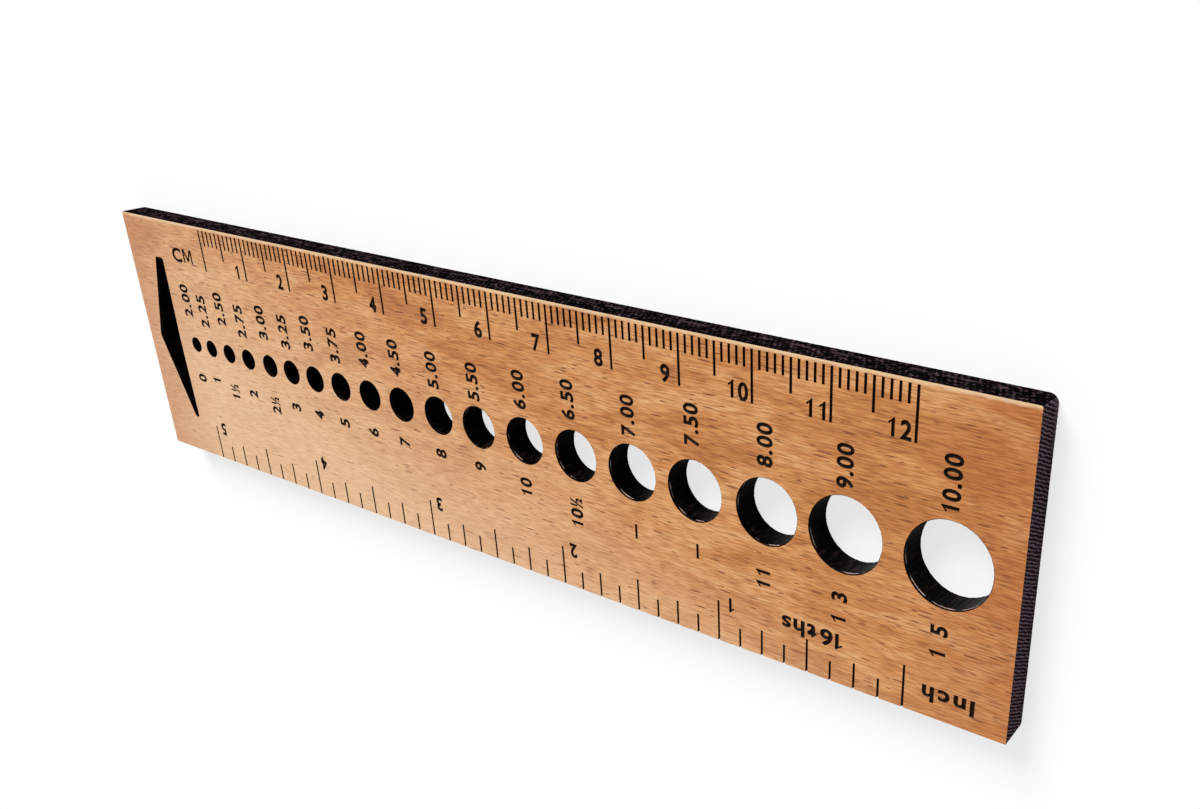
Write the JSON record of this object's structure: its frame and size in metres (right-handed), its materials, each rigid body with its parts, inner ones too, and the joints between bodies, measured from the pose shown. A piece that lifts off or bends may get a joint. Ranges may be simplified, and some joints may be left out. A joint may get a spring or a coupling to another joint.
{
  "type": "knitting needle gauge",
  "caption": "Flat rectangular wooden plate with a graded row of round sizing holes, a slim triangular window, a centimetre scale on one long edge and an inch scale on the other.",
  "frame": {"origin": "middle of the back face, on which the plate lies", "axes": "+X along the length towards the largest hole, +Y across the width towards the centimetre scale, +Z out of the engraved face"},
  "size_m": [0.153, 0.0384, 0.0036],
  "materials": {
    "beech": "satin"
  },
  "bodies": {
    "root": {"plate": "beech"}
  },
  "joints": []
}
